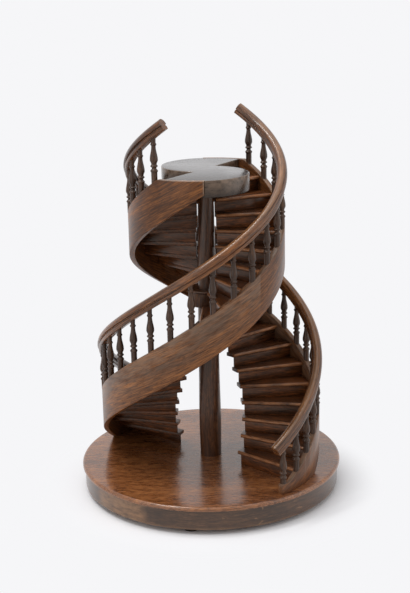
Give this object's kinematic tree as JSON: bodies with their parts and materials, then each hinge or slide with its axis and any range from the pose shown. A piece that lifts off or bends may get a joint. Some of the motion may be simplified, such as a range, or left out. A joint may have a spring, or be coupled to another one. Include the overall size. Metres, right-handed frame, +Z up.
{
  "type": "double spiral staircase model",
  "caption": "Polished dark wood display model of a double spiral staircase, its paired flights with turned balusters winding round a column from a round base to an S-shaped landing.",
  "frame": {"origin": "on the column's axis, level with the undersides of the feet", "axes": "+Z up along the column, -Y towards the viewer of the picture, +X to that viewer's right"},
  "size_m": [0.321, 0.321, 0.4628],
  "materials": {
    "base": "polished dark stain",
    "feet": "polished dark stain",
    "column": "polished dark stain",
    "landing": "polished dark stain",
    "string": "polished dark stain",
    "handrail": "polished dark stain",
    "baluster": "polished dark stain",
    "step": "polished dark stain"
  },
  "bodies": {
    "root": {"base_cap": "base", "base_drum": "base", "base_feet": "feet", "centre_column": "column", "top_landing": "landing", "string_a": "string", "string_b": "string", "handrail_a": "handrail", "handrail_b": "handrail", "balusters_a": "baluster", "balusters_b": "baluster", "risers_a": "step", "risers_b": "step", "treads_01": "step", "treads_02": "step", "treads_03": "step", "treads_04": "step", "treads_05": "step", "treads_06": "step", "treads_07": "step", "treads_08": "step", "treads_09": "step", "treads_10": "step", "treads_11": "step", "treads_12": "step", "treads_13": "step", "treads_14": "step", "treads_15": "step", "treads_16": "step", "treads_17": "step", "treads_18": "step", "treads_19": "step"}
  },
  "joints": []
}
